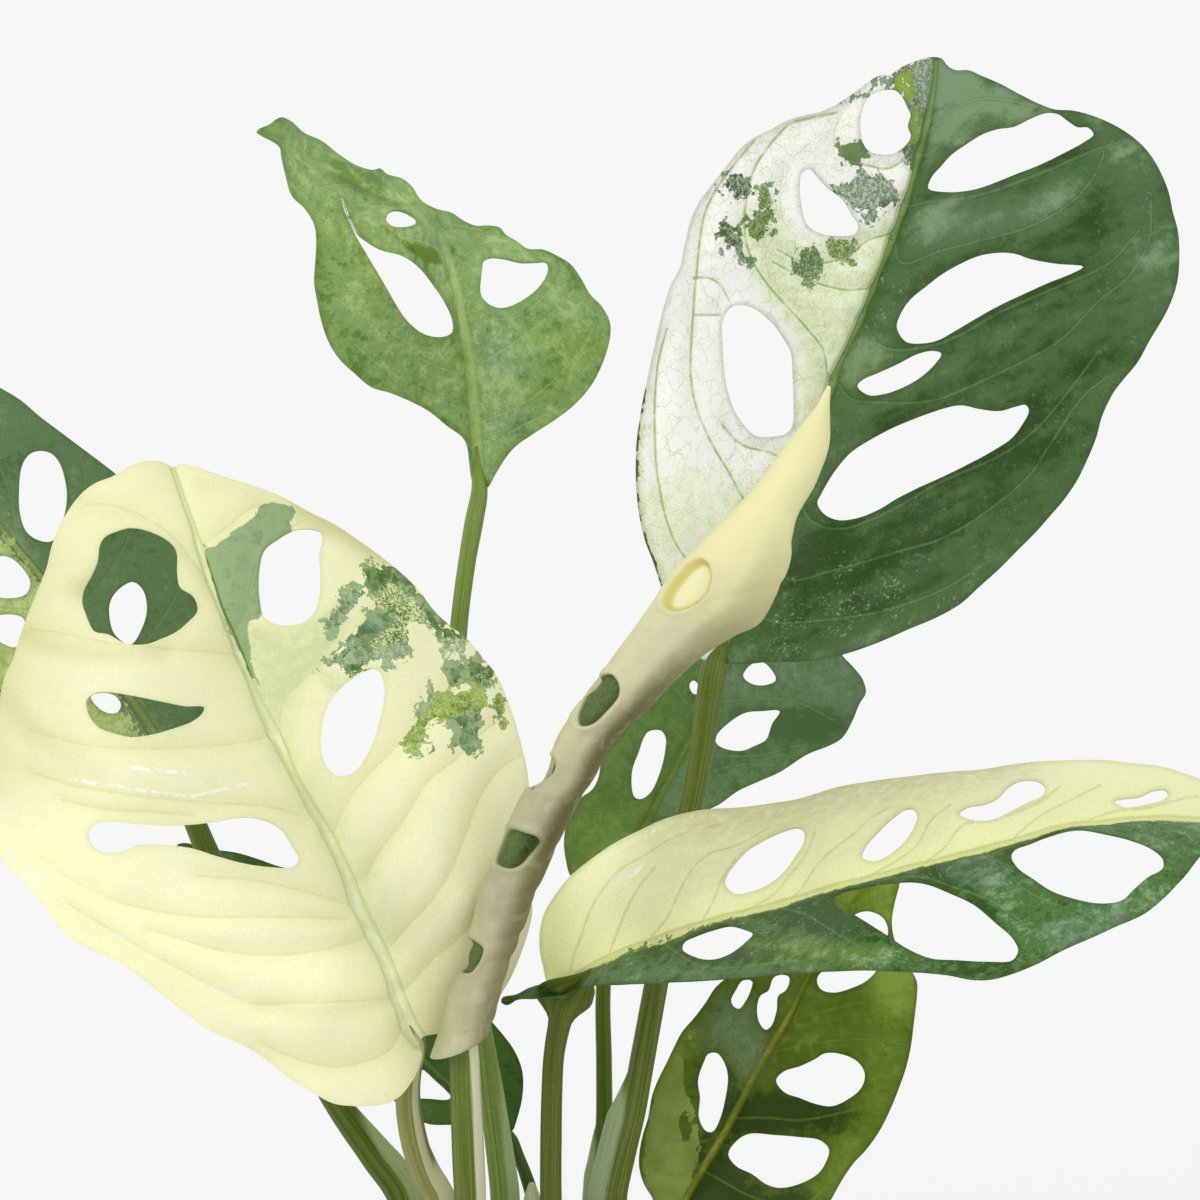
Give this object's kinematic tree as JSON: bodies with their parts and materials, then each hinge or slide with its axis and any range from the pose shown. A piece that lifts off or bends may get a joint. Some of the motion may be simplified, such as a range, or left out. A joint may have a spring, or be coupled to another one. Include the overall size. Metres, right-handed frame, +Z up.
{
  "type": "potted monstera adansonii",
  "caption": "Variegated Swiss cheese vine with pierced leaves, some half cream or half white and one still rolled up, in a plain clay pot.",
  "frame": {"origin": "middle of the pot's underside, on the surface it stands on", "axes": "+Z up, +X to the right as the picture sees the plant, +Y away from the picture's viewer"},
  "size_m": [0.2796, 0.1507, 0.3995],
  "materials": {
    "terracotta": "matte",
    "potting_mix": "matte",
    "vine": "satin",
    "stalk_green": "satin",
    "stalk_pale": "satin",
    "blade_cream": "satin",
    "blade_white": "satin",
    "blade_green": "satin",
    "blade_fresh": "satin",
    "blade_olive": "satin"
  },
  "bodies": {
    "root": {"pot": "terracotta", "soil": "potting_mix", "stem_left": "vine", "stem_middle": "vine", "stem_right": "vine", "leaf_cream_front": "blade_cream", "leaf_green_left": "blade_green", "leaf_rolled": "blade_cream", "leaf_green_low": "blade_green", "leaf_green_top": "blade_fresh", "leaf_green_back": "blade_fresh", "leaf_half_cream_side": "blade_cream", "leaf_half_white_top": "blade_white", "leaf_green_right": "blade_olive", "stalk_cream_front": "stalk_pale", "stalk_green_left": "stalk_green", "stalk_roll": "stalk_green", "stalk_green_low": "stalk_green", "stalk_green_top": "stalk_green", "stalk_green_back": "stalk_green", "stalk_half_cream": "stalk_green", "stalk_half_white": "stalk_green", "stalk_green_right": "stalk_green", "shoot_tip": "stalk_pale"}
  },
  "joints": []
}
